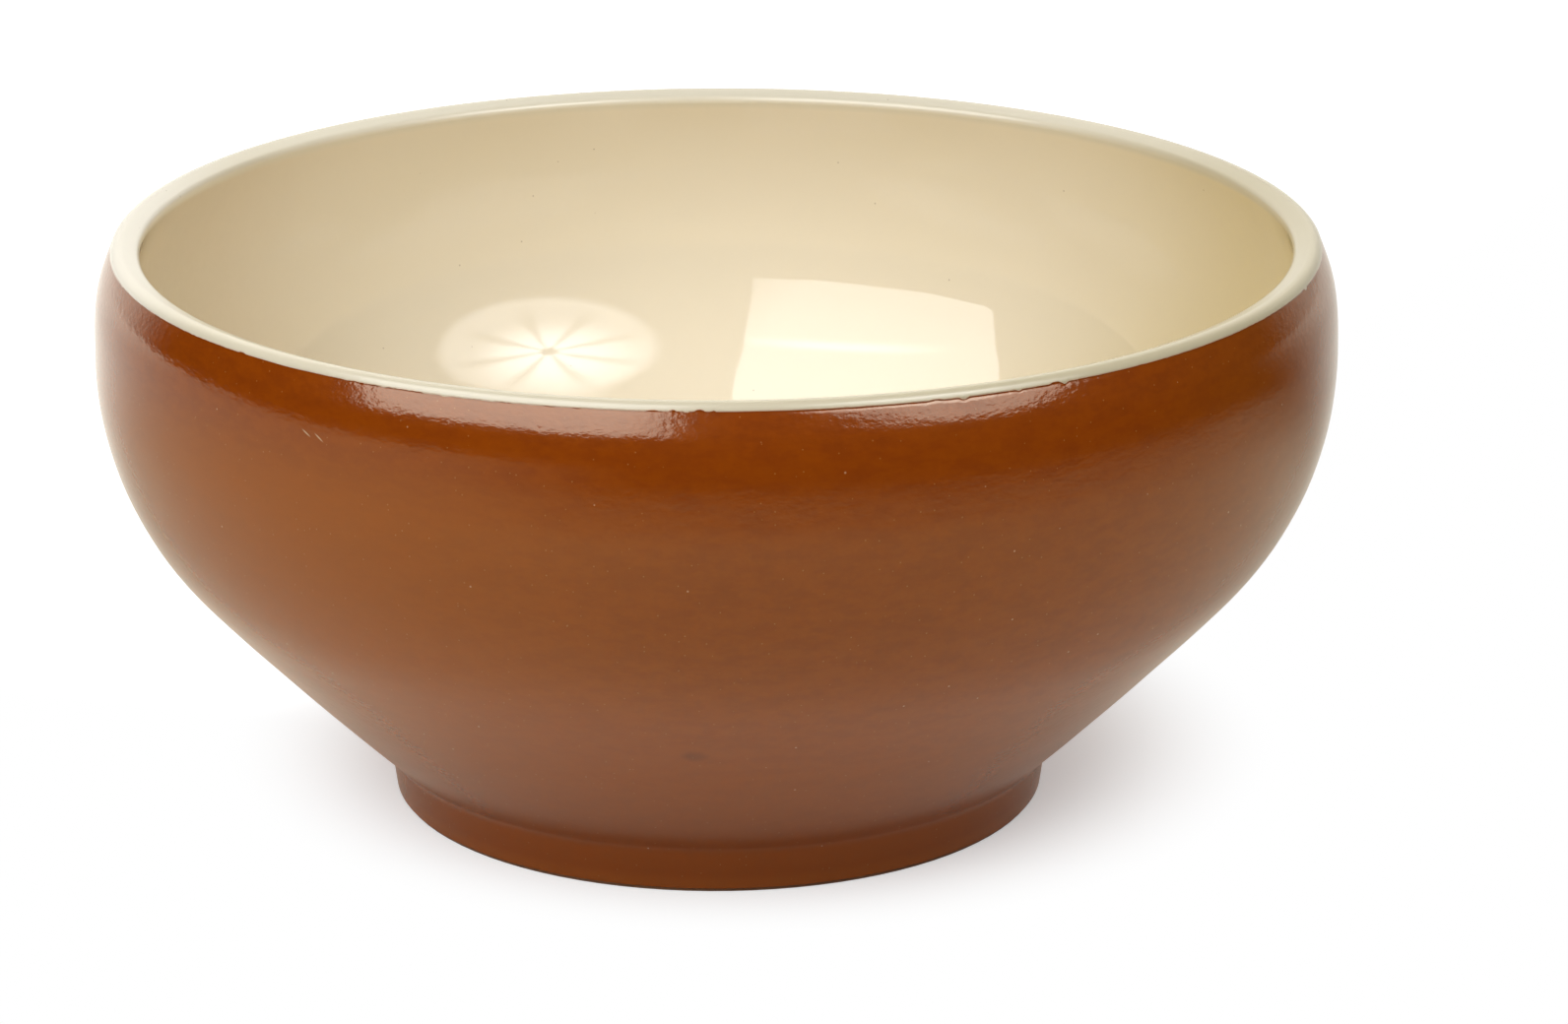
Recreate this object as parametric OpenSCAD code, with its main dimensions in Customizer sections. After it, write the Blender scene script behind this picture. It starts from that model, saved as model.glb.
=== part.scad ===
// A thrown and turned stoneware bowl with a cream liner glaze and a brown
// outer glaze. It is drawn as one half section, turned about the Z axis, and
// stands on its bare foot ring at z = 0. Lengths are in millimetres.

/* [Bowl] */
// Widest diameter, over the glaze
bowl_d = 220; // [205:1:250]
// Height of the rim's highest line above the table
bowl_h = 102.8; // [98:0.2:112]
// Height of the widest line of the belly
belly_h = 82.4; // [76:0.2:88]
// Radius of the belly's round, seen in section
belly_r = 57; // [50:0.5:64]
// Radius of the slight bow in the flank between the foot and the belly
flank_r = 740; // [400:10:2000]

/* [Wall] */
// Thickness of the wall, glaze included
wall_t = 5.1; // [4:0.1:7]
// Thickness of the floor at its middle, glaze included
floor_t = 7; // [5:0.1:10]
// Radius of the round between the floor and the wall, inside
floor_sweep_r = 55; // [35:1:80]

/* [Rim] */
// Rounding of the rim's outer edge
rim_outer_r = 1.9; // [1:0.1:2.4]
// Rounding of the rim's inner edge
rim_inner_r = 1.2; // [0.8:0.1:1.5]

/* [Foot] */
// Diameter of the foot where it meets the flank
foot_d = 119.2; // [112:0.2:126]
// Height of the foot
foot_h = 8.1; // [7:0.1:10]
// Slope of the foot's side, from level
foot_slope = 82.3; // [74:0.1:88]
// Radius of the hollow round between the foot and the flank
foot_crease_r = 3; // [1.5:0.1:4]
// Width of the ring that touches the table, before its edges are rounded
foot_ring_w = 7; // [5:0.1:12]
// Rounding of the ring's two edges
foot_edge_r = 0.6; // [0.4:0.1:1]
// Depth of the well turned under the base
well_depth = 5; // [4.6:0.1:6]
// Radius of the hollow round in the well's corner
well_corner_r = 2.5; // [1:0.1:3]
// Slope of the well's side, from level
well_slope = 76; // [60:1:88]

/* [Glaze] */
// Thickness of each fired glaze coat
glaze_t = 0.3; // [0.2:0.05:0.5]
// Height of the bare clay that is wiped clean above the foot's rounded edges
foot_wipe = 0.2; // [0.1:0.1:1]

/* [Hidden] */

// How far a straight run of the section may stray from its true round
fineness = 0.01;
// Fewest straight runs in any round
least_runs = 6;
// Facets of the turned surface in a preview
turn_facets = 240;

clay_color = "#b08a68";
liner_color = "#e6dabd";
outer_color = "#7d4724";

// The section is followed with the clay on the left. A slope is the angle of
// travel from level: the foot climbs steeply, the belly passes 90 degrees at
// its widest line, and the rim turns over past 180.
function travel(slope) = [cos(slope), sin(slope)];
// Direction in which the surface faces at a slope
function facing(slope) = [sin(slope), -cos(slope)];
// Slope at which a surface faces along a vector
function slope_of(v) = atan2(v.x, -v.y);

// Point where a line through p along u lies at distance r from c. The side
// is -1 for the first such point on the way and 1 for the second.
function reach(p, u, c, r, side) =
    let (q = p - c, m = q * u)
    p + u * (side * sqrt(r * r - q * q + m * m) - m);

// Number of straight runs that draw a round of radius r over a turn
function runs(r, turn) =
    max(least_runs, ceil(abs(turn) / (2 * acos(1 - fineness / abs(r)))));

// Points of a round from slope a to slope b, without the last one. A hollow
// round has a negative radius.
function sweep(c, r, a, b) =
    let (n = runs(r, b - a))
    [for (i = [0:n - 1]) c + r * facing(a + (b - a) * i / n)];

function backwards(line) = [for (i = [len(line) - 1:-1:0]) line[i]];

// Foot
foot_r = foot_d / 2;
foot_base_r = foot_r - foot_h / tan(foot_slope);
well_r = foot_base_r - foot_ring_w;

// Belly, and the flank that runs from the foot's top into it
belly_c = [bowl_d / 2 - belly_r, belly_h];
foot_top = [foot_r, foot_h];
chord = belly_c - foot_top;
chord_l = norm(chord);
flank_bend = acos(
    (flank_r * flank_r + chord_l * chord_l - pow(flank_r - belly_r, 2))
    / (2 * flank_r * chord_l));
flank_c = foot_top + flank_r * travel(atan2(chord.y, chord.x) + flank_bend);
join_slope = slope_of(belly_c - flank_c);

// Crease above the foot
crease_c = reach(
    [foot_base_r, 0] + foot_crease_r * facing(foot_slope),
    travel(foot_slope), flank_c, flank_r + foot_crease_r, -1);
crease_slope = slope_of(crease_c - flank_c);

// Rim, cut square to the leaning wall, with both edges rounded
lean = asin((bowl_h - rim_outer_r - belly_h) / (belly_r - rim_outer_r));
rim_slope = 180 + lean;
rim_outer_c = belly_c + (belly_r - rim_outer_r) * facing(90 + lean);
rim_inner_c = reach(
    rim_outer_c + (rim_outer_r - rim_inner_r) * facing(rim_slope),
    travel(rim_slope), belly_c, belly_r - wall_t + rim_inner_r, -1);
inner_lean = slope_of(rim_inner_c - belly_c) - 90;

// Floor, inside
floor_h = well_depth + floor_t;
floor_c = reach(
    [0, floor_h + floor_sweep_r], travel(0),
    flank_c, flank_r - wall_t - floor_sweep_r, 1);
floor_slope = slope_of(floor_c - flank_c);

// Height above the table at which the glaze coats on the foot end
glaze_low = foot_edge_r + foot_wipe;

// The lines below lie at a depth under the finished surface: 0 is the face of
// the glaze, and glaze_t is the face of the clay.

// Point of the foot's outer side at a height
function foot_side(depth, height) =
    [foot_base_r + height / tan(foot_slope) - depth / sin(foot_slope), height];

// Point of the well's side at a height
function well_side(depth, height) =
    [well_r - height / tan(well_slope) + depth / sin(well_slope), height];

// Outside, from the wiped foot up to the border where the two glazes meet
function outer_line(depth) = concat(
    [foot_side(depth, glaze_low)],
    sweep(crease_c, -foot_crease_r - depth, foot_slope, crease_slope),
    sweep(flank_c, flank_r - depth, crease_slope, join_slope),
    sweep(belly_c, belly_r - depth, join_slope, 90),
    sweep(belly_c, belly_r - depth, 90, 90 + lean));

// From the border over the rim and down the inside to the middle of the floor
function liner_line(depth) = concat(
    sweep(rim_outer_c, rim_outer_r - depth, 90 + lean, 180),
    sweep(rim_outer_c, rim_outer_r - depth, 180, rim_slope),
    [rim_outer_c + (rim_outer_r - depth) * facing(rim_slope)],
    sweep(rim_inner_c, rim_inner_r - depth, rim_slope, 270 + inner_lean),
    sweep(belly_c, belly_r - wall_t + depth, 90 + inner_lean, join_slope),
    sweep(flank_c, flank_r - wall_t + depth, join_slope, floor_slope),
    sweep(floor_c, floor_sweep_r + depth, floor_slope, 0),
    [[floor_c.x, floor_h - depth], [0, floor_h - depth]]);

// Under the base, from the middle of the well to the wiped foot
well_corner_c = well_side(-well_corner_r, well_depth - well_corner_r);
function well_line(depth) = concat(
    [[0, well_depth + depth]],
    sweep(well_corner_c, -well_corner_r - depth, 0, -well_slope),
    [well_corner_c - (well_corner_r + depth) * facing(-well_slope)],
    [well_side(depth, glaze_low)]);

// Bare foot ring of clay, with its two edges rounded
inner_edge_c = well_side(glaze_t + foot_edge_r, foot_edge_r);
outer_edge_c = foot_side(glaze_t + foot_edge_r, foot_edge_r);
ring_line = concat(
    sweep(inner_edge_c, foot_edge_r, -well_slope, 0),
    [inner_edge_c + foot_edge_r * facing(0)],
    sweep(outer_edge_c, foot_edge_r, 0, foot_slope),
    [outer_edge_c + foot_edge_r * facing(foot_slope)]);

module turned(outline) {
    rotate_extrude($fn = turn_facets) polygon(outline);
}

// Skin between the finished surface and the clay, along a line of the section
module coat(face, back) {
    turned(concat(face, backwards(back)));
}

// Clay body: wall, floor and foot, thrown and turned from one lump
module stoneware_body() {
    color(clay_color)
        turned(concat(
            well_line(glaze_t),
            ring_line,
            outer_line(glaze_t),
            liner_line(glaze_t)));
}

// Cream glaze on the inside and over the rim
module liner_glaze() {
    color(liner_color)
        coat(liner_line(0), liner_line(glaze_t));
}

// Brown glaze on the outside. It ends at the border, flush with the cream.
module outer_glaze() {
    color(outer_color)
        coat(
            concat(outer_line(0), [liner_line(0)[0]]),
            concat(outer_line(glaze_t), [liner_line(glaze_t)[0]]));
}

// Brown glaze in the well under the base
module foot_well_glaze() {
    color(outer_color)
        coat(well_line(0), well_line(glaze_t));
}

stoneware_body();
liner_glaze();
outer_glaze();
foot_well_glaze();
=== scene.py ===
"""The looks of a thrown stoneware bowl: cream glaze inside and over the rim,
brown glaze outside, and a bare clay ring that it stands on."""

from cmath import phase, rect
from math import acos, atan2, ceil, cos, degrees, exp, pi, radians, sin, sqrt

import bmesh
import bpy
from mathutils import Matrix, Vector, noise


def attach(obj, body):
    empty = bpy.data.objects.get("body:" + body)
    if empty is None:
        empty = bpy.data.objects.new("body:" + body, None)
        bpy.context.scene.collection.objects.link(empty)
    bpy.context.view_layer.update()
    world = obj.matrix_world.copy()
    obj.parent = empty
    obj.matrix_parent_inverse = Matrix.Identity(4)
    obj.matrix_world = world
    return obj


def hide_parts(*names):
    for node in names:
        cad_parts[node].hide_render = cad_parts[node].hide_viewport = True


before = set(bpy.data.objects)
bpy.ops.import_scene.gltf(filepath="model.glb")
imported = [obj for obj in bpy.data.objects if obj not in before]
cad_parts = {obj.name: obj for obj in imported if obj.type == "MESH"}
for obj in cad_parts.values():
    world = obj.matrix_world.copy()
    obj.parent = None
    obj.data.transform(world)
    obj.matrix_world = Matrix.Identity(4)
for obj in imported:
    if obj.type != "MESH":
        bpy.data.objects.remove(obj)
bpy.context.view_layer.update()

MM = 0.001

# Driving sizes of the bowl, in millimetres and degrees
WIDTH, HEIGHT = 220, 102.8
BELLY_HEIGHT, BELLY_R, FLANK_R = 82.4, 57, 740
WALL, FLOOR, SWEEP_R = 5.1, 7, 55
RIM_OUT_R, RIM_IN_R = 1.9, 1.2
FOOT_WIDTH, FOOT_HEIGHT, FOOT_SLOPE, CREASE_R, RING = 119.2, 8.1, 82.3, 3, 7
WELL_DEPTH, WELL_CORNER_R, WELL_SLOPE = 5, 2.5, 76
EDGE_R, WIPE, GLAZE = 0.6, 0.2, 0.3

# The turned skins: steps in a full turn, and the sectors that it is made of
TURN_STEPS, SECTORS = 480, 16

# Longest steps along the section in millimetres, on the faces of the glazes
# and on their backs. The steps are some times finer on the rim, in the small
# hollows and on the short straights, and coarser on the level floors.
FACE_STEP, BACK_STEP, WELL_BACK_STEP = 2, 6, 4
RIM_FINER, HOLLOW_FINER, SHORT_FINER, FLOOR_COARSER = 8, 5, 2, 1.5

# Lengths in millimetres that count as none when rings are told apart, and when
# the two ends of a turn are merged
HAIR, MERGE = 0.01, 0.002

# Angle in degrees past which two faces meet in a sharp corner
SHARP_CORNER = 40

# Runs from the border of the two glazes where the skins have rings that follow
# its nicks. Further off, the skins are plainly turned.
BORDER_RUNS = (0, 0.1, 0.2, 0.32, 0.46, 0.62, 0.85, 1.15, 1.5)
FREE_RUN = BORDER_RUNS[-1]
BORDER_CUTS = 3

# Waves in the border's line: their height and spacing in millimetres, and the
# place in the noise where each is read. The line is ragged only where another
# noise, with its own spacing and place, is above a level.
BORDER_WAVES = ((0.08, 22, 3.1), (0.05, 6, 7.7))
RAGGED_WAVES = ((0.20, 1.6, 1.3), (0.16, 0.7, 5.9))
RAGGED_SPACING, RAGGED_SEED, RAGGED_LEVEL = 30, 12.5, -0.15
WANDER_LIMIT = 0.7

# Nicks in the border: the way round from the front in degrees, the half width
# and the height in millimetres. Above zero the brown reaches into the cream.
NICKS = (
    (-5.6, 0.8, 0.16),
    (-3.9, 0.5, 0.26),
    (-2.7, 0.3, -0.16),
    (-1.6, 0.7, 0.34),
    (-0.4, 0.3, 0.18),
    (19.0, 1.0, 0.16),
    (21.6, 0.7, -0.34),
    (26.9, 0.5, -0.22),
    (30.6, 0.9, 0.26),
    (31.6, 0.5, -0.34),
    (70.5, 0.7, -0.4),
    (-24.0, 1.0, -0.12),
    (-47.0, 0.7, 0.18),
)

# The brown glaze has a shallow groove along the border. It deepens and runs
# out again on the right of the front, between places in degrees round from the
# front, and has a small share of its depth elsewhere. A lean below one brings
# its deepest line nearer to the border.
GROOVE_DEPTH, GROOVE_WIDTH, GROOVE_LEAN = 0.08, 0.6, 0.8
GROOVE_DEEPENS, GROOVE_RUNS_OUT = (3, 10), (44, 32)
GROOVE_LEAST_SHARE = 0.12
GROOVE_WAVES = ((0.3, 9, 21.4),)

# Below the border the brown glaze swells over the clay, and its face leans in
# towards the rim. These are the swell's height, the dip at the border itself,
# the runs below the border where the swell is highest and where it ends, and
# the share of the way to its top over which it climbs evenly.
SWELL_HEIGHT, SWELL_DIP, SWELL_TOP, SWELL_END = 0.45, 0.06, 7.4, 18.5
SWELL_KNEE_SHARE = 0.65

# Throwing marks: their depth and spacing, and their place in the noise
OUTSIDE_MARKS, INSIDE_MARKS = (0.09, 7, 4), (0.06, 9, 9)

# How fast a mark changes on its way round, and the sway that makes some marks
# deeper, with its own spacing. The mean depth and what the two add to it are
# shares of the depth.
MARK_ROUND, SWAY_ROUND, SWAY_SPACING = 0.35, 1.1, 30
MEAN_SHARE, MARK_SHARE, SWAY_SHARE = 0.5, 0.6, 0.4

# The marks leave out the middle of the floor, and fade towards a height low on
# the foot and one at the rim, each over its own distance
MARKS_LEAST_R = 20
MARKS_LOW, LOW_FADE, MARKS_HIGH, HIGH_FADE = 3, 6, 100.5, 5


# The section. A place in it is a complex number: across plus up times 1j. It
# is followed with the clay on the left, and a slope is the angle of travel
# from level, so the rim turns over past 180 degrees.


def travel(slope):
    return rect(1, radians(slope))


def facing(slope):
    return travel(slope - 90)


def steepness(slope):
    """How far a line at a slope climbs for its way across."""
    way = travel(slope)
    return way.imag / way.real


def slope_of(way):
    """Slope of a surface that faces along a way."""
    return degrees(phase(way)) + 90


def reach(place, way, middle, r, side):
    """Where a line from a place meets a round, at its first or second side."""
    gap = place - middle
    forward = (gap * way.conjugate()).real
    return place + way * (side * sqrt(r * r - abs(gap) ** 2 + forward**2) - forward)


foot_base = FOOT_WIDTH / 2 - FOOT_HEIGHT / steepness(FOOT_SLOPE)
well_edge = foot_base - RING
belly_mid = complex(WIDTH / 2 - BELLY_R, BELLY_HEIGHT)
foot_top = complex(FOOT_WIDTH / 2, FOOT_HEIGHT)
chord = belly_mid - foot_top
bend = acos(
    (FLANK_R**2 + abs(chord) ** 2 - (FLANK_R - BELLY_R) ** 2)
    / (2 * FLANK_R * abs(chord))
)
flank_mid = foot_top + rect(FLANK_R, phase(chord) + bend)
join = slope_of(belly_mid - flank_mid)
crease_mid = reach(
    foot_base + CREASE_R * facing(FOOT_SLOPE),
    travel(FOOT_SLOPE),
    flank_mid,
    FLANK_R + CREASE_R,
    -1,
)
crease_slope = slope_of(crease_mid - flank_mid)
rim_rise = HEIGHT - RIM_OUT_R - BELLY_HEIGHT
rim_across = sqrt((BELLY_R - RIM_OUT_R) ** 2 - rim_rise**2)
lean = degrees(phase(complex(rim_across, rim_rise)))
border_slope = 90 + lean
rim_slope = 180 + lean
rim_out_mid = belly_mid + (BELLY_R - RIM_OUT_R) * facing(border_slope)
rim_in_mid = reach(
    rim_out_mid + (RIM_OUT_R - RIM_IN_R) * facing(rim_slope),
    travel(rim_slope),
    belly_mid,
    BELLY_R - WALL + RIM_IN_R,
    -1,
)
inner_lean = slope_of(rim_in_mid - belly_mid) - 90
floor_height = WELL_DEPTH + FLOOR
floor_mid = reach(
    1j * (floor_height + SWEEP_R), 1, flank_mid, FLANK_R - WALL - SWEEP_R, 1
)
floor_slope = slope_of(floor_mid - flank_mid)
glaze_low = EDGE_R + WIPE
border_r = rim_out_mid.real + RIM_OUT_R * facing(border_slope).real


def arc(middle, r, start, end, step):
    """Places on a round from one slope to another, without the last one."""
    count = max(2, ceil(abs(radians(end - start) * r) / step))
    slopes = [start + (end - start) * i / count for i in range(count)]
    return [middle + r * facing(slope) for slope in slopes]


def straight(start, end, step):
    """Places on a straight from one to another, without the last one."""
    count = max(1, ceil(abs(end - start) / step))
    return [start + (end - start) * i / count for i in range(count)]


def side(base, slope, depth, height, out):
    """A place on the foot's side or the well's, at a depth in the glaze."""
    across = height / steepness(slope) - depth / travel(slope).imag
    return complex(base + out * across, height)


def foot_side(depth, height):
    return side(foot_base, FOOT_SLOPE, depth, height, 1)


def well_side(depth, height):
    return side(well_edge, WELL_SLOPE, depth, height, -1)


def at_border(run, depth):
    """Place on the outside at a run from the border: above zero it lies over
    the rim, and below zero down the belly."""
    middle, r = (rim_out_mid, RIM_OUT_R) if run > 0 else (belly_mid, BELLY_R)
    lift = swell(run) if depth < HAIR else 0
    return middle + (r - depth + lift) * facing(border_slope + degrees(run / r))


def outer_line(depth, step):
    """Outside, from the wiped foot up to the rings of the border."""
    hollow = -CREASE_R - depth
    end = border_slope - degrees(FREE_RUN / BELLY_R)
    return (
        straight(foot_side(depth, glaze_low), crease_mid + hollow * facing(FOOT_SLOPE), step)
        + arc(crease_mid, hollow, FOOT_SLOPE, crease_slope, step / HOLLOW_FINER)
        + arc(flank_mid, FLANK_R - depth, crease_slope, join, step)
        + swelled(arc(belly_mid, BELLY_R - depth, join, end, step), depth)
    )


def swelled(line, depth):
    """The belly's places, moved out by the swell where they are the face."""
    if depth > 0:
        return line
    moved = []
    for place in line:
        slope = slope_of(place - belly_mid)
        run = radians(slope - border_slope) * BELLY_R
        moved.append(place + swell(run) * facing(slope))
    return moved


def liner_line(depth, step):
    """Inside, from the rings of the border over the rim to the floor's middle."""
    start = border_slope + degrees(FREE_RUN / RIM_OUT_R)
    out_r, in_r = RIM_OUT_R - depth, RIM_IN_R - depth
    top_start = rim_out_mid + out_r * facing(rim_slope)
    top_end = rim_in_mid + in_r * facing(rim_slope)
    low = (floor_height - depth) * 1j
    return (
        arc(rim_out_mid, out_r, start, rim_slope, step / RIM_FINER)
        + straight(top_start, top_end, step / SHORT_FINER)
        + arc(rim_in_mid, in_r, rim_slope, 270 + inner_lean, step / RIM_FINER)
        + arc(belly_mid, BELLY_R - WALL + depth, 90 + inner_lean, join, step)
        + arc(flank_mid, FLANK_R - WALL + depth, join, floor_slope, step)
        + arc(floor_mid, SWEEP_R + depth, floor_slope, 0, step)
        + straight(floor_mid.real + low, low, FLOOR_COARSER * step)
        + [low]
    )


def well_line(depth, step):
    """Under the base, from the middle of the well to the wiped foot."""
    middle = well_side(-WELL_CORNER_R, WELL_DEPTH - WELL_CORNER_R)
    hollow = -WELL_CORNER_R - depth
    top = (WELL_DEPTH + depth) * 1j
    low = well_side(depth, glaze_low)
    return (
        straight(top, middle + hollow * facing(0), FLOOR_COARSER * step)
        + arc(middle, hollow, 0, -WELL_SLOPE, step / HOLLOW_FINER)
        + straight(middle + hollow * facing(-WELL_SLOPE), low, step / SHORT_FINER)
        + [low]
    )


# How the border wanders


def smooth(value, low, high):
    """Smooth share of the way that a value has gone from low to high."""
    share = min(1, max(0, (value - low) / (high - low)))
    return share * share * (3 - 2 * share)


def ripple(turn, spacing, seed):
    """Smooth noise along the rim, with one wave in about two spacings."""
    spread = border_r / spacing
    return noise.noise(Vector((spread * cos(turn), spread * sin(turn), seed)))


def waves(turn, table):
    """Sum of ripples along the rim, each with its height, spacing and seed."""
    return sum(height * ripple(turn, spacing, seed) for height, spacing, seed in table)


def border_wander(turn):
    """How far the border lies above its turned line at one place round it."""
    ragged = max(0, ripple(turn, RAGGED_SPACING, RAGGED_SEED) - RAGGED_LEVEL)
    height = waves(turn, BORDER_WAVES) + ragged * waves(turn, RAGGED_WAVES)
    for place, width, tall in NICKS:
        away = (degrees(turn) - place + 180) % 360 - 180
        away *= radians(1) * border_r / width
        height += tall * exp(-(away**4))
    return max(-WANDER_LIMIT, min(WANDER_LIMIT, height))


def groove(run, turn):
    """Depth of the groove in the brown glaze at one place below the border."""
    if not -GROOVE_WIDTH < run < 0:
        return 0
    way = degrees(turn)
    deep = smooth(way, *GROOVE_DEEPENS) * smooth(way, *GROOVE_RUNS_OUT)
    share = GROOVE_LEAST_SHARE + (1 - GROOVE_LEAST_SHARE) * deep + waves(turn, GROOVE_WAVES)
    return GROOVE_DEPTH * max(0, share) * sin(pi * (-run / GROOVE_WIDTH) ** GROOVE_LEAN) ** 2


def swell(run):
    """Height of the swell in the brown glaze at a run below the border."""
    if run > 0:
        return 0
    share = min(1, -run / SWELL_TOP)
    rise = 2 * share / (1 + SWELL_KNEE_SHARE)
    if share > SWELL_KNEE_SHARE:
        rise = 1 - (1 - share) ** 2 / (1 - SWELL_KNEE_SHARE**2)
    fade = smooth(-run, SWELL_END, SWELL_TOP)
    return SWELL_HEIGHT * rise * fade - SWELL_DIP * (1 - rise)


def way_round(place):
    """Angle of a place round the bowl: zero at the front, and to the right."""
    return atan2(place.x, -place.y)


# The glaze skins


def rings(line, edge, depth):
    """Places of a section line with their run from the border and depth."""
    return [(place, edge, depth) for place in line]


def border_rings(depth, way):
    """The section's rings that follow the nicks, up to the border for way -1
    and from the border for way 1."""
    runs = BORDER_RUNS if way > 0 else BORDER_RUNS[::-1]
    runs = [way * run for run in runs if run < FREE_RUN or way < 0]
    return [(at_border(run, depth), run, depth) for run in runs]


def turned(points, closed):
    """A mesh of (place, edge, depth) points of the section, turned round."""
    mesh = bmesh.new()
    layers = [mesh.verts.layers.float.new(name) for name in ("edge", "depth")]
    corners = []
    for place, *values in points:
        corner = mesh.verts.new((0, -place.real * MM, place.imag * MM))
        for layer, value in zip(layers, values):
            corner[layer] = value
        corners.append(corner)
    edges = [mesh.edges.new(pair) for pair in zip(corners, corners[1:])]
    if closed:
        edges.append(mesh.edges.new((corners[-1], corners[0])))
    sector = 2 * pi / SECTORS
    turning = {"cent": (0, 0, 0), "axis": (0, 0, 1), "dvec": (0, 0, 0)}
    bmesh.ops.spin(
        mesh, geom=corners + edges, angle=sector, steps=TURN_STEPS // SECTORS, **turning
    )
    geometry = mesh.verts[:] + mesh.edges[:] + mesh.faces[:]
    bmesh.ops.spin(
        mesh,
        geom=geometry,
        angle=2 * pi - sector,
        steps=SECTORS - 1,
        use_duplicate=True,
        **turning,
    )
    bmesh.ops.remove_doubles(mesh, verts=mesh.verts[:], dist=MERGE * MM)
    return mesh, layers


def follow_border(mesh, layers):
    """Cuts the rings at the border finer and moves them to its nicks."""
    edge, depth = layers
    near = [
        line
        for line in mesh.edges
        if abs(line.verts[0][edge]) < FREE_RUN - HAIR
        and abs(line.verts[0][edge] - line.verts[1][edge]) < HAIR
        and abs(line.verts[0][depth] - line.verts[1][depth]) < HAIR
        and abs(line.verts[0].co.z - line.verts[1].co.z) < HAIR * MM
    ]
    bmesh.ops.subdivide_edges(mesh, edges=near, cuts=BORDER_CUTS)
    for corner in mesh.verts:
        run = corner[edge]
        pull = 1 - abs(run) / FREE_RUN
        if pull <= 0:
            continue
        turn = way_round(corner.co)
        place = at_border(run + pull * border_wander(turn), corner[depth])
        if corner[depth] < HAIR:
            place -= groove(run, turn) * facing(border_slope)
        round_it = Vector((place.real * sin(turn), -place.real * cos(turn), place.imag))
        corner.co = round_it * MM


def throwing_marks(mesh, layers, deepest, spacing, seed):
    """Sinks the face of a glaze in the faint rings that the fingers leave."""
    depth = layers[1]
    mesh.normal_update()
    moves = []
    for corner in mesh.verts:
        up, out = corner.co.z / MM, corner.co.xy.length / MM
        if corner[depth] > HAIR or out < MARKS_LEAST_R:
            continue
        turn = way_round(corner.co)
        across, back = cos(turn), sin(turn)
        wave = Vector((up / spacing, MARK_ROUND * across, MARK_ROUND * back + seed))
        sway = Vector((up / SWAY_SPACING, SWAY_ROUND * across + seed, SWAY_ROUND * back))
        share = MEAN_SHARE + MARK_SHARE * noise.noise(wave) + SWAY_SHARE * noise.noise(sway)
        sink = deepest * min(1, max(0, share))
        sink *= min(1, abs(up - MARKS_LOW) / LOW_FADE)
        sink *= min(1, max(0, (MARKS_HIGH - up) / HIGH_FADE))
        moves.append((corner, corner.normal * (-sink * MM)))
    for corner, move in moves:
        corner.co += move


def new_piece(name, mesh, finish, slot, *nodes):
    """Finishes a mesh as a piece that stands for CAD nodes. Its face turns into
    its ends and its back over sharp corners."""
    for line in mesh.edges:
        if len(line.link_faces) == 2 and line.calc_face_angle() > radians(SHARP_CORNER):
            line.smooth = False
    data = bpy.data.meshes.new(name)
    mesh.to_mesh(data)
    mesh.free()
    data.polygons.foreach_set("use_smooth", [True] * len(data.polygons))
    data.materials.append(finish)
    piece = bpy.data.objects.new(name, data)
    bpy.context.scene.collection.objects.link(piece)
    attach(piece, "root")
    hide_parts(*nodes)
    return piece


def brown_outside(finish):
    face = rings(outer_line(0, FACE_STEP), -FREE_RUN, 0) + border_rings(0, -1)
    back = rings(outer_line(GLAZE, BACK_STEP), -FREE_RUN, GLAZE) + border_rings(GLAZE, -1)
    mesh, layers = turned(face + back[::-1], True)
    follow_border(mesh, layers)
    bmesh.ops.recalc_face_normals(mesh, faces=mesh.faces[:])
    throwing_marks(mesh, layers, *OUTSIDE_MARKS)
    return new_piece("brown_outer_glaze", mesh, finish, "brown_glaze", "outer_glaze")


def cream_inside(finish):
    face = border_rings(0, 1) + rings(liner_line(0, FACE_STEP), FREE_RUN, 0)
    back = border_rings(GLAZE, 1) + rings(liner_line(GLAZE, BACK_STEP), FREE_RUN, GLAZE)
    mesh, layers = turned(back[::-1] + face, False)
    follow_border(mesh, layers)
    bmesh.ops.recalc_face_normals(mesh, faces=mesh.faces[:])
    throwing_marks(mesh, layers, *INSIDE_MARKS)
    return new_piece("cream_liner_glaze", mesh, finish, "cream_glaze", "liner_glaze")


def brown_well(finish):
    face = rings(well_line(0, FACE_STEP), -FREE_RUN, 0)
    back = rings(well_line(GLAZE, WELL_BACK_STEP), -FREE_RUN, GLAZE)
    mesh, _ = turned(face + back[::-1], False)
    bmesh.ops.recalc_face_normals(mesh, faces=mesh.faces[:])
    return new_piece("brown_well_glaze", mesh, finish, "brown_glaze", "foot_well_glaze")


# The finishes

# Shares of a dot's size and of a spot's size inside which it is full
DOT_CORE_SHARE, SPOT_CORE_SHARE = 0.6, 0.3


class Value:
    """A number, colour or direction of a finish. Sums on numbers add their
    Math nodes."""

    def __init__(self, sheet, socket):
        self.sheet = sheet
        self.socket = socket

    def __add__(self, other):
        return self.sheet.math("ADD", self, other)

    __radd__ = __add__

    def __sub__(self, other):
        return self.sheet.math("SUBTRACT", self, other)

    def __rsub__(self, other):
        return self.sheet.math("SUBTRACT", other, self)

    def __mul__(self, other):
        return self.sheet.math("MULTIPLY", self, other)

    __rmul__ = __mul__

    def __abs__(self):
        return self.sheet.math("ABSOLUTE", self)


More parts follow.
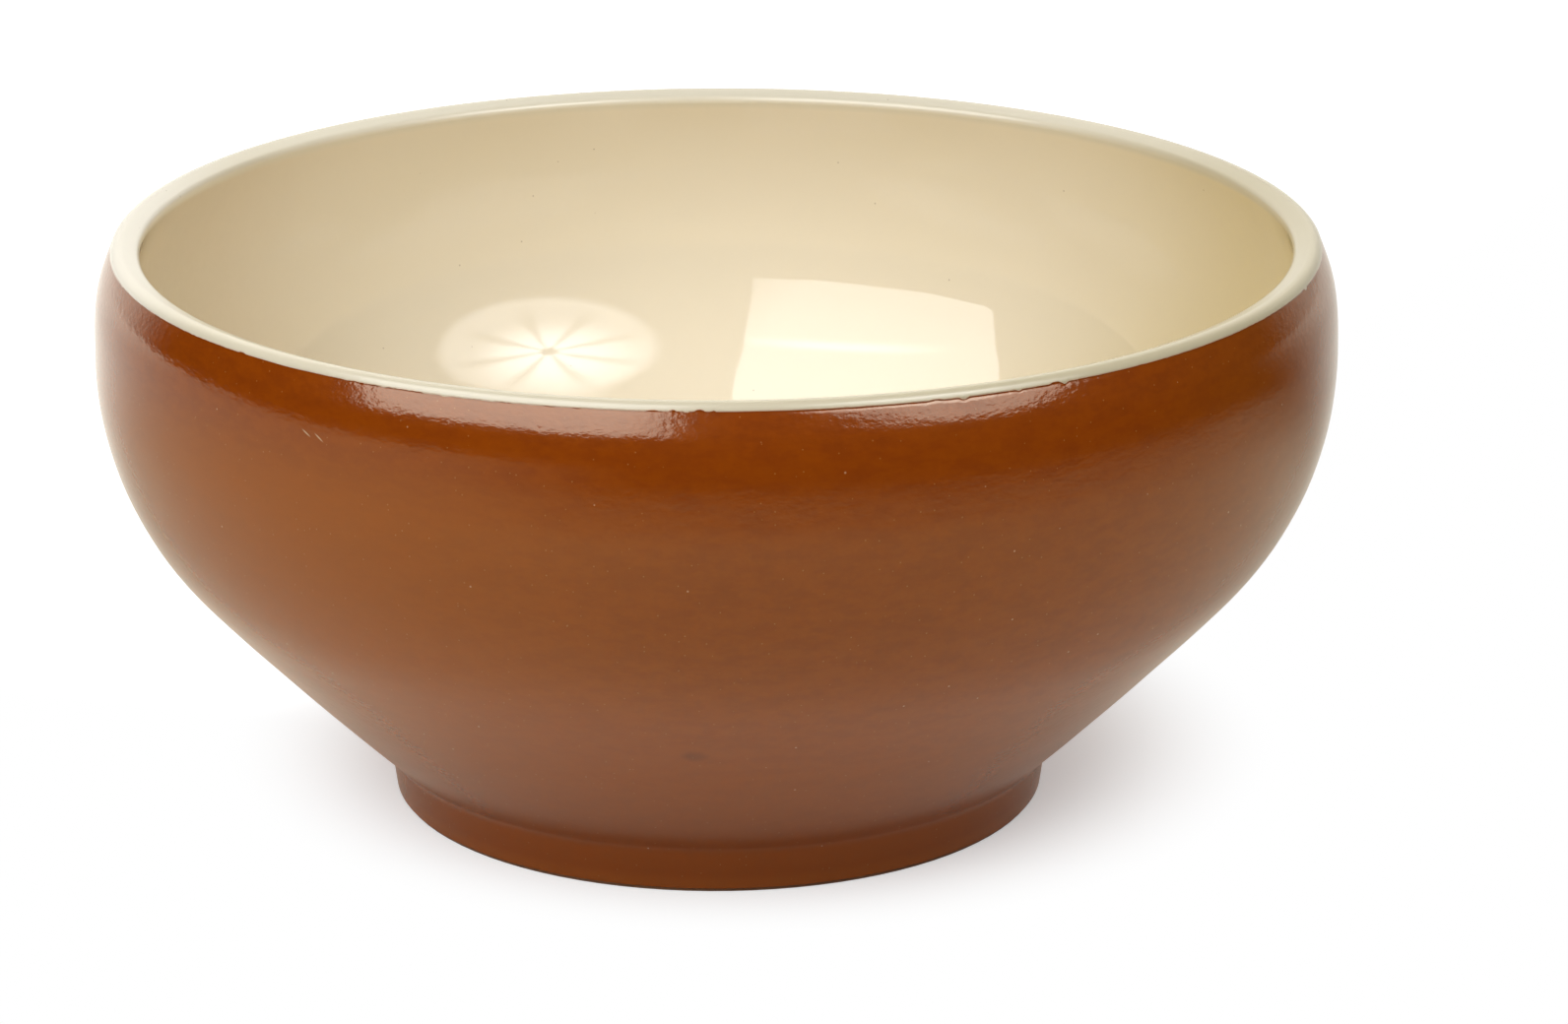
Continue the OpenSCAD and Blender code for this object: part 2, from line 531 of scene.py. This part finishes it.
class Sheet:
    """The nodes of one finish."""

    def __init__(self, tree):
        self.tree = tree
        tree.nodes.clear()

    def node(self, kind, settings=(), inputs=(), output=0):
        node = self.tree.nodes.new(kind)
        for name, setting in dict(settings).items():
            setattr(node, name, setting)
        for name, value in dict(inputs).items():
            if isinstance(value, Value):
                self.tree.links.new(value.socket, node.inputs[name])
            else:
                node.inputs[name].default_value = value
        return Value(self, node.outputs[output]) if node.outputs else node

    def math(self, operation, *numbers):
        inputs = dict(enumerate(numbers))
        return self.node("ShaderNodeMath", {"operation": operation}, inputs)

    def larger(self, number, other):
        return self.math("MAXIMUM", number, other)

    def between(self, value, low, high, to_low=0.0, to_high=1.0):
        """Smooth way from one level to another as a value goes from low to
        high. Low may be the larger of the two."""
        inputs = {0: value, 1: low, 2: high, 3: to_low, 4: to_high}
        settings = {"interpolation_type": "SMOOTHSTEP"}
        return self.node("ShaderNodeMapRange", settings, inputs)

    def places(self):
        return self.node("ShaderNodeTexCoord", output="Object")

    def edge(self):
        """Run from the border of the glazes, in millimetres."""
        return self.node("ShaderNodeAttribute", {"attribute_name": "edge"}, output="Fac")

    def ray(self, kind):
        """One for rays of a kind, such as Camera, and zero for the others."""
        return self.node("ShaderNodeLightPath", output=f"Is {kind} Ray")

    def lit_side(self):
        """One on the front of a lamp's sheet and zero on its back."""
        return 1 - self.node("ShaderNodeNewGeometry", output="Backfacing")

    def parts(self, vector):
        split = self.node("ShaderNodeSeparateXYZ", inputs={0: vector})
        return [Value(self, end) for end in split.socket.node.outputs]

    def length(self, vector):
        settings = {"operation": "LENGTH"}
        return self.node("ShaderNodeVectorMath", settings, {0: vector}, "Value")

    def direction(self, vector):
        return self.node("ShaderNodeVectorMath", {"operation": "NORMALIZE"}, {0: vector})

    def shifted(self, vector, by):
        return self.node("ShaderNodeMapping", inputs={"Vector": vector, "Location": by})

    def flattened(self, vector, times):
        """A vector whose patterns are some times as wide as they are high."""
        return self.node("ShaderNodeMapping", inputs={"Vector": vector, "Scale": (1, 1, times)})

    def grain(self, vector, scale, detail=2.0, rough=0.5):
        inputs = {"Vector": vector, "Scale": scale, "Detail": detail, "Roughness": rough}
        return self.node("ShaderNodeTexNoise", inputs=inputs)

    def dots(self, vector, scale, size, share):
        """Small round dots in a share of the cells that a vector is cut into."""
        inputs = {"Vector": vector, "Scale": scale}
        apart = self.node("ShaderNodeTexVoronoi", inputs=inputs, output="Distance")
        lot = self.node("ShaderNodeTexVoronoi", inputs=inputs, output="Color")
        near = self.between(apart, size * scale, DOT_CORE_SHARE * size * scale)
        return near * self.math("LESS_THAN", self.parts(lot)[0], share)

    def spot(self, vector, centre, size, turn=(0, 0, 0)):
        """One soft-edged spot of three half sizes, in metres."""
        inputs = {"Vector": vector, "Location": centre, "Rotation": turn, "Scale": size}
        local = self.node("ShaderNodeMapping", {"vector_type": "TEXTURE"}, inputs)
        return self.between(self.length(local), 1, SPOT_CORE_SHARE)

    def blend(self, share, colour, other):
        inputs = {0: share, 6: colour, 7: other}
        return self.node("ShaderNodeMix", {"data_type": "RGBA"}, inputs, output=2)

    def layered(self, tint, layers):
        """A tint with more colours laid over it, each by its own share."""
        for share, tone in layers:
            tint = self.blend(share, tint, colour(*tone))
        return tint

    def bump(self, height, distance, normal=None):
        inputs = {"Height": height, "Distance": distance}
        if normal is not None:
            inputs["Normal"] = normal
        return self.node("ShaderNodeBump", inputs=inputs)

    def surface(self, **inputs):
        named = {name.replace("_", " "): value for name, value in inputs.items()}
        return self.node("ShaderNodeBsdfPrincipled", inputs=named)

    def glow(self, strength, tone=(1, 1, 1, 1)):
        inputs = {"Color": tone, "Strength": strength}
        return self.node("ShaderNodeEmission", inputs=inputs)

    def mixed(self, share, shader, other):
        return self.node("ShaderNodeMixShader", inputs={0: share, 1: shader, 2: other})

    def finished(self, shader, kind="ShaderNodeOutputMaterial"):
        self.node(kind, inputs={"Surface": shader})


def new_finish(name):
    finish = bpy.data.materials.new(name)
    finish.use_nodes = True
    return finish, Sheet(finish.node_tree)


def colour(red, green, blue):
    """A colour as it is seen on a screen, from 0 to 255, as light."""

    def light(part):
        part /= 255
        return part / 12.92 if part <= 0.04045 else ((part + 0.055) / 1.055) ** 2.4

    return light(red), light(green), light(blue), 1.0


# The brown glaze

# Bands in metres, each from where a change starts to where it is full: first
# places across the bowl, and then heights
LEFT, RIGHT_END = (0.01, -0.08), (0.06, 0.105)
LEFT_TOP, LOWER_FLANK, DULLER_FLANK = (0.096, 0.080), (0.055, 0.015), (0.040, 0.012)
# On the foot and at its base the brown is lighter: painted light for the floor's bounce and
# against the shade in the crease and at the base
FOOT, LIT_FOOT_BASE = (0.0100, 0.0070), (0.004, 0.001)
SHOULDER, ROLL = (0.0935, 0.0985), (0.0966, 0.1042)

# Runs from the border in millimetres over which painted shade darkens the brown, and levels of
# the mottling's noise
SHADED_BORDER_RUNS, MOTTLE_LEVELS = (-0.4, -0.05), (0.38, 0.66)

# Two scratches on the left shoulder, each with its place in metres and its
# tilt in radians, and a smudge low on the front
SCRATCHES = (((-0.0666, -0.0866, 0.0921), 0.5), ((-0.0645, -0.0883, 0.0918), 0.55))
SCRATCH_SIZE, SCRATCH_TURN = (0.0014, 0.0008, 0.00018), -0.64
SMUDGE, SMUDGE_SIZE = (-0.0041, -0.0876, 0.0361), (0.0030, 0.0030, 0.0022)

# Heights of the bumps in metres
ROLL_HEIGHT, PULL_HEIGHT, PEEL_HEIGHT = 0.00062, 0.00004, 0.000024

# How strongly the glaze mirrors and the tint of what it mirrors, on the flank
# and on the shoulder, where it lies thick
FLANK_SHINE = 1.5, (1.0, 0.96, 0.64, 1.0)
SHOULDER_SHINE = 1.95, (1.0, 0.90, 0.72, 1.0)


def brown_tint(sheet, place, cloud, fine):
    """Brown in soft clouds, with streaks and mottling, and another brown on the left,
    at the right end and low on the flank. Painted light makes the foot and its
    base lighter, and painted shade darkens the brown at the border."""
    across, _, up = sheet.parts(place)
    streak = sheet.grain(sheet.flattened(place, 4), scale=90, detail=3, rough=0.6)
    mottle = sheet.grain(sheet.flattened(place, 2.5), scale=170, detail=3, rough=0.7)
    left = sheet.between(across, *LEFT) * sheet.between(up, *LEFT_TOP)
    layers = (
        (0.4 * streak, (164, 82, 16)),
        (0.35 * fine, (112, 46, 8)),
        (0.4 * sheet.between(mottle, *MOTTLE_LEVELS), (130, 54, 12)),
        (0.7 * left, (166, 84, 16)),
        (0.5 * sheet.between(across, *RIGHT_END), (148, 80, 12)),
        (0.7 * sheet.between(up, *LOWER_FLANK), (148, 74, 10)),
        # painted light: the foot and its base lighter, for the floor's bounce and against the
        # shade in the crease and at the base
        (0.9 * sheet.between(up, *FOOT), (166, 78, 12)),
        (0.6 * sheet.between(up, *LIT_FOOT_BASE), (190, 100, 26)),
        # painted shade: darker brown along the border, under the cream's edge
        (0.35 * sheet.between(sheet.edge(), *SHADED_BORDER_RUNS), (112, 46, 6)),
    )
    tint = sheet.blend(cloud, colour(160, 72, 6), colour(150, 66, 5))
    return sheet.layered(tint, layers)


def brown_marks(sheet, place, tint):
    """Pinholes and finer specks, the two scratches and the smudge."""
    holes = sheet.dots(place, scale=400, size=0.00022, share=0.10)
    specks = sheet.dots(place, scale=900, size=0.00016, share=0.2)
    layers = [(0.8 * holes, (206, 160, 120)), (0.4 * specks, (200, 146, 90))]
    for middle, tilt in SCRATCHES:
        scratch = sheet.spot(place, middle, SCRATCH_SIZE, (0, tilt, SCRATCH_TURN))
        layers.append((scratch, (214, 180, 140)))
    smudge = sheet.spot(place, SMUDGE, SMUDGE_SIZE)
    layers.append((0.3 * smudge, (80, 36, 16)))
    return sheet.layered(tint, layers)


def brown_relief(sheet, place, up, fine, shoulder):
    """The glaze rolls in under the border, pulls in slow level waves, and has
    a fine peel that is stronger on the shoulder."""
    pull = sheet.grain(sheet.flattened(place, 5), scale=60)
    peel = sheet.grain(sheet.flattened(place, 1.8), scale=760, rough=0.55)
    normal = sheet.bump(sheet.between(up, *ROLL), -ROLL_HEIGHT)
    normal = sheet.bump(pull, PULL_HEIGHT, normal)
    return sheet.bump((peel + 0.6 * fine) * (1 + 0.9 * shoulder), PEEL_HEIGHT, normal)


def brown_glaze():
    finish, sheet = new_finish("brown_glaze")
    place = sheet.places()
    up = sheet.parts(place)[2]
    cloud = sheet.grain(place, scale=16, detail=3)
    fine = sheet.grain(place, scale=700, rough=0.6)
    shoulder = sheet.between(up, *SHOULDER)
    tint = brown_marks(sheet, place, brown_tint(sheet, place, cloud, fine))
    normal = brown_relief(sheet, place, up, fine, shoulder)
    dull = 0.1 * sheet.between(up, *DULLER_FLANK)
    rough = 0.11 + 0.05 * cloud + dull - 0.01 * shoulder
    look = {"Base_Color": tint, "Roughness": rough, "Normal": normal}
    flank, thick = [
        sheet.surface(IOR=strength, Specular_Tint=shine, **look)
        for strength, shine in (FLANK_SHINE, SHOULDER_SHINE)
    ]
    sheet.finished(sheet.mixed(shoulder, flank, thick))
    return finish


# The cream glaze

# Bands in metres across the bowl, from front to back and in height, and a band
# of runs from the border in millimetres
# The band from front to back and the rim's band at the left end lighten the cream with painted
# light.
GREENER_RIGHT, RIM_RIGHT, RIM_LIT_LEFT_END = (0.02, 0.07), (-0.09, 0.09), (-0.085, -0.105)
BEHIND, RIM = (0.03, 0.09), (0.0992, 0.1006)
CREAM_AT_BORDER = 0.35, 0.0

# How far clouds shift the greener band, and the height of the ripples
GREENER_SHIFT, RIPPLE_HEIGHT = 0.03, 0.00001


def cream_rim(sheet, across, behind):
    """The rim's cream, duller to the right, with painted light that makes it paler
    behind and at the left end."""
    right = sheet.between(across, *RIM_RIGHT)
    tint = sheet.blend(right, colour(234, 226, 202), colour(206, 196, 168))
    layers = (
        # painted light: paler behind and at the left end
        (0.7 * behind, (246, 238, 216)),
        (sheet.between(across, *RIM_LIT_LEFT_END), (255, 250, 236)),
    )
    return sheet.layered(tint, layers)


def cream_tint(sheet, place, cloud, rim):
    """Cream in soft clouds and patches, greener on the right, with painted light
    that makes it paler behind, and with a pink line at the border and a few specks."""
    across, back, _ = sheet.parts(place)
    patch = sheet.grain(sheet.flattened(place, 2), scale=26, detail=3)
    drift = sheet.grain(place, scale=45, detail=3)
    fine = sheet.grain(place, scale=500, detail=3, rough=0.6)
    greener = sheet.between(across + GREENER_SHIFT * cloud, *GREENER_RIGHT)
    behind = sheet.between(back, *BEHIND)
    pink = sheet.between(sheet.edge(), *CREAM_AT_BORDER) * sheet.grain(place, scale=60)
    specks = sheet.dots(place, scale=420, size=0.00022, share=0.07)
    inside = (
        (0.6 * patch, (228, 206, 176)),
        (0.35 * drift, (222, 212, 178)),
        (0.85 * greener, (223, 205, 150)),
        (0.3 * fine, (218, 198, 160)),
        # painted light: paler on the back wall, which faces the lamps
        (0.9 * behind, (251, 240, 216)),
    )
    tint = sheet.blend(cloud, colour(239, 222, 190), colour(233, 218, 184))
    tint = sheet.layered(tint, inside)
    tint = sheet.blend(0.8 * rim, tint, cream_rim(sheet, across, behind))
    return sheet.layered(tint, ((0.7 * pink, (206, 150, 112)), (0.4 * specks, (150, 122, 84))))


def cream_glaze():
    finish, sheet = new_finish("cream_glaze")
    place = sheet.places()
    cloud = sheet.grain(place, scale=13, detail=3)
    rim = sheet.between(sheet.parts(place)[2], *RIM)
    tint = cream_tint(sheet, place, cloud, rim)
    normal = sheet.bump(sheet.grain(place, scale=240), RIPPLE_HEIGHT)
    rough = 0.025 + 0.02 * cloud + 0.17 * rim
    sheet.finished(sheet.surface(Base_Color=tint, Roughness=rough, Normal=normal, IOR=1.7))
    return finish


# The bare clay

GROG_HEIGHT = 0.00008


def bare_clay():
    """Clay with grains of grog, toasted in patches."""
    finish, sheet = new_finish("bare_clay")
    place = sheet.places()
    grog = sheet.grain(place, scale=900, detail=3, rough=0.7)
    toast = sheet.grain(place, scale=40, detail=3)
    tint = sheet.blend(grog, colour(150, 112, 84), colour(180, 142, 108))
    tint = sheet.blend(0.5 * toast, tint, colour(146, 96, 62))
    normal = sheet.bump(grog, GROG_HEIGHT)
    sheet.finished(sheet.surface(Base_Color=tint, Roughness=0.85, Normal=normal))
    return finish


def dress_clay(finish):
    """The clay body is the CAD node itself, with its finish."""
    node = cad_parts["stoneware_body"]
    node.data.materials.clear()
    node.data.materials.append(finish)


# The studio, with its lengths in metres

# The paper: its radius, its tone near the bowl and further off, how much it
# glows, and the share of that glow that the glaze shows
PAPER_R, PAPER, FAR_PAPER = 8, (245, 245, 245), (110, 110, 110)
PAPER_GLOW, GLOW_IN_GLAZE_SHARE = 0.34, 0.5

# The camera sees the shadow on the paper out from a shifted middle, up to a
# band where it ends in plain white. The glaze shows the paper further out. It
# ends sooner there by up to a last length where a direction points back, over
# a band of shares.
SHADOW_SHIFT, SHADOW_ENDS, PAPER_ENDS = (-0.006, -0.020, 0), (0.056, 0.098), (0.25, 0.6)
ENDS_SOONER = 0.0, 0.9, 0.0, 0.22

# The glaze shows the paper and the room a little warmer than they are seen
PAPER_IN_GLAZE, ROOM_IN_GLAZE = (250, 244, 218), (255, 251, 240)

# The room beyond the paper's end and above it: the light straight behind the
# bowl, the light on the far left, and the share of a direction that has to
# point back before it meets any of the light behind
ROOM_AT_FLOOR, ROOM_ABOVE = (1.4, 1.0, 0.30), (1.15, 0.0, 0.48)

# Shares of a direction across or back where the room's left and right sides
# start and are full and where the light behind is full, what the right side
# takes off that light, and the light of the dark side
LEFT_SIDE, RIGHT_SIDE, FULL_BEHIND = (-0.2, -0.85), (0.1, 0.6), 0.8
RIGHT_LOSS, ROOM_DARK = 0.5, 0.02

# Where the lamps stand: to the right of the camera and up, in degrees, and the
# place that they face, from a distance of their own
LAMP_DISTANCE = 0.9
SOFTBOX_STAND = -34, 45, (0.020, 0.090, 0.058)
UMBRELLA_STAND = 46, 45, (-0.028, 0.084, 0.054)

# The softbox: its outline, its light, and the bands at its low edge and at one
# side where that comes up from a share to all of it. Across it lies a tube with
# a slope, a height, a half width, ends and a light of its own.
SOFTBOX_OUTLINE = (
    (-0.405, -0.312), (-0.160, -0.352), (0.160, -0.360), (0.405, -0.330), (0.440, -0.290),
    (0.458, -0.079), (0.532, 0.170), (0.620, 0.440), (-0.130, 0.500),
)
SOFTBOX_LIGHT, TUBE_LIGHT = 3.0, 0.9
LOW_EDGE, SIDE_EDGE = (-0.36, 0.1, 0.85, 1.0), (-0.42, -0.2, 0.6, 1.0)
TUBE_SLOPE, TUBE_HEIGHT, TUBE_HALF_WIDTH, TUBE_ENDS = 0.23, 0.062, 0.05, (0.34, 0.05)

# The umbrella: its radius, its gores, how far they are turned in degrees, and
# how far its hub lies above its middle
UMBRELLA_R, GORES, GORE_TURN, HUB_RISE = 0.33, 8, 5, 0.037

# Its light, the dimmer rim of the cloth, the bright core that leans up, the
# dark hub, and the folds along its ribs, whose width is the sine of an angle,
# with what they take off the light
UMBRELLA_LIGHT = 2.08
CLOTH_FULL_R, CLOTH_RIM_SHARE = 0.285, 0.3
CORE, CORE_LEAN, CORE_LIGHT = (0.27, 0.05), 0.25, 2.1
HUB, HUB_SHARE = (0.014, 0.036), 0.15
FOLD_WIDTH, FOLD_ENDS, FOLD_LOSS = 0.8, (0.32, 0.16), 0.6

# The camera: its place, its turn to the right and down in radians, and its
# lens and film in millimetres
CAMERA_PLACE, CAMERA_TURN, CAMERA_DIP = (-0.00112, -0.92892, 0.35319), 0.0140, 0.3155
LENS, FILM_WIDTH = 124.72, 36


def stage_object(name, mesh, finish, place=Matrix()):
    data = bpy.data.meshes.new(name)
    mesh.to_mesh(data)
    mesh.free()
    data.materials.append(finish)
    thing = bpy.data.objects.new(name, data)
    thing.matrix_world = place
    bpy.context.scene.collection.objects.link(thing)
    return thing


def room(sheet, seen, way, behind, left, start):
    """Light and tone of the room along a direction. The camera sees it plain
    white. The glaze shows it bright behind the bowl, less so on the right,
    with a light of its own on the left, and dark behind the camera."""
    across, back, _ = sheet.parts(way)
    beside = sheet.between(across, *LEFT_SIDE, ROOM_DARK, left)
    behind = behind - RIGHT_LOSS * sheet.between(across, *RIGHT_SIDE)
    light = beside + (behind - beside) * sheet.between(back, start, FULL_BEHIND)
    tone = sheet.blend(seen, colour(*ROOM_IN_GLAZE), (1, 1, 1, 1))
    return sheet.larger(seen, light), tone


def floor():
    """White paper that keeps the bowl's shadow and runs out to plain white."""
    mesh = bmesh.new()
    bmesh.ops.create_circle(mesh, cap_ends=True, radius=PAPER_R, segments=96)
    finish, sheet = new_finish("floor_paper")
    seen, mirrored, through = [sheet.ray(kind) for kind in ("Camera", "Glossy", "Transmission")]
    place = sheet.places()
    way = sheet.direction(place)
    near = sheet.between(sheet.length(sheet.shifted(place, SHADOW_SHIFT)), *SHADOW_ENDS)
    sooner = sheet.between(sheet.parts(way)[1], *ENDS_SOONER)
    far = sheet.between(sheet.length(place) + sooner, *PAPER_ENDS)
    ends = near * seen + far * sheet.larger(mirrored, through)
    tone = sheet.blend(far, colour(*PAPER), colour(*FAR_PAPER))
    tone = sheet.blend(mirrored, tone, colour(*PAPER_IN_GLAZE))
    paper = sheet.node("ShaderNodeBsdfDiffuse", inputs={"Color": tone})
    shine = sheet.glow(PAPER_GLOW * sheet.larger(seen, GLOW_IN_GLAZE_SHARE * mirrored))
    lit = sheet.node("ShaderNodeAddShader", inputs={0: paper, 1: shine})
    beyond = sheet.glow(*room(sheet, seen, way, *ROOM_AT_FLOOR))
    sheet.finished(sheet.mixed(ends, lit, beyond))
    stage_object("studio_floor", mesh, finish)


def surroundings():
    """White behind the bowl, and a dim room behind the camera."""
    world = bpy.data.worlds.new("studio")
    world.use_nodes = True
    bpy.context.scene.world = world
    sheet = Sheet(world.node_tree)
    way = sheet.node("ShaderNodeTexCoord", output="Generated")
    light, tone = room(sheet, sheet.ray("Camera"), way, *ROOM_ABOVE)
    inputs = {"Color": tone, "Strength": light}
    sheet.finished(sheet.node("ShaderNodeBackground", inputs=inputs), "ShaderNodeOutputWorld")


def stand(way, height, aim):
    """Turn and place of a lamp that faces the bowl, seen from the bowl at an
    angle to the right of the camera and at a height, both in degrees."""
    turn, rise = radians(way), radians(height)
    right = Vector((cos(turn), sin(turn), 0))
    out = Vector((sin(turn) * cos(rise), -cos(turn) * cos(rise), sin(rise)))
    rows = Matrix((-right, out.cross(right), -out)).transposed()
    return Matrix.Translation(Vector(aim) + out * LAMP_DISTANCE) @ rows.to_4x4()


def softbox():
    """A leaning sheet of light with a brighter tube across it."""
    mesh = bmesh.new()
    mesh.faces.new([mesh.verts.new((x, y, 0)) for x, y in SOFTBOX_OUTLINE])
    finish, sheet = new_finish("softbox_light")
    across, up, _ = sheet.parts(sheet.places())
    soft = sheet.between(up, *LOW_EDGE) * sheet.between(across, *SIDE_EDGE)
    off_tube = abs(up + TUBE_SLOPE * across - TUBE_HEIGHT)
    tube = sheet.between(off_tube, TUBE_HALF_WIDTH, 0.0) * sheet.between(abs(across), *TUBE_ENDS)
    sheet.finished(sheet.glow(SOFTBOX_LIGHT * (soft + TUBE_LIGHT * tube) * sheet.lit_side()))
    lamp = stage_object("softbox", mesh, finish, stand(*SOFTBOX_STAND))
    lamp.visible_camera = False


def umbrella():
    """A white umbrella of eight gores, lit from in front of its hub."""
    mesh = bmesh.new()
    bmesh.ops.create_circle(mesh, cap_ends=True, cap_tris=True, radius=UMBRELLA_R, segments=64)
    finish, sheet = new_finish("umbrella_light")
    place = sheet.places()
    from_hub = sheet.shifted(place, (0, -HUB_RISE, 0))
    across, up, _ = sheet.parts(from_hub)
    out = sheet.length(from_hub)
    cloth = sheet.between(sheet.length(place), UMBRELLA_R, CLOTH_FULL_R, CLOTH_RIM_SHARE, 1.0)
    turn = GORES / 2 * (sheet.math("ARCTAN2", up, across) - radians(GORE_TURN))
    off_rib = abs(sheet.math("SINE", turn))
    fold = sheet.between(off_rib, FOLD_WIDTH, 0.0) * sheet.between(out, *FOLD_ENDS)
    core = sheet.between(out - CORE_LEAN * up, *CORE)
    hub = sheet.between(out, *HUB, HUB_SHARE, 1.0)
    light = UMBRELLA_LIGHT * cloth * (1 + CORE_LIGHT * core) * (1 - FOLD_LOSS * fold) * hub
    sheet.finished(sheet.glow(light * sheet.lit_side()))
    lamp = stage_object("umbrella", mesh, finish, stand(*UMBRELLA_STAND))
    lamp.visible_camera = False


def camera():
    lens = bpy.data.cameras.new("camera")
    lens.lens = LENS
    lens.sensor_width = FILM_WIDTH
    eye = bpy.data.objects.new("camera", lens)
    bpy.context.scene.collection.objects.link(eye)
    across, back = sin(CAMERA_TURN), cos(CAMERA_TURN)
    ahead = Vector((across * cos(CAMERA_DIP), back * cos(CAMERA_DIP), -sin(CAMERA_DIP)))
    right = Vector((back, -across, 0))
    turn = Matrix((right, right.cross(ahead), -ahead)).transposed()
    eye.matrix_world = Matrix.Translation(CAMERA_PLACE) @ turn.to_4x4()
    bpy.context.scene.camera = eye


bpy.context.scene.view_settings.view_transform = "Standard"
brown = brown_glaze()
brown_outside(brown)
brown_well(brown)
cream_inside(cream_glaze())
dress_clay(bare_clay())
floor()
surroundings()
softbox()
umbrella()
camera()
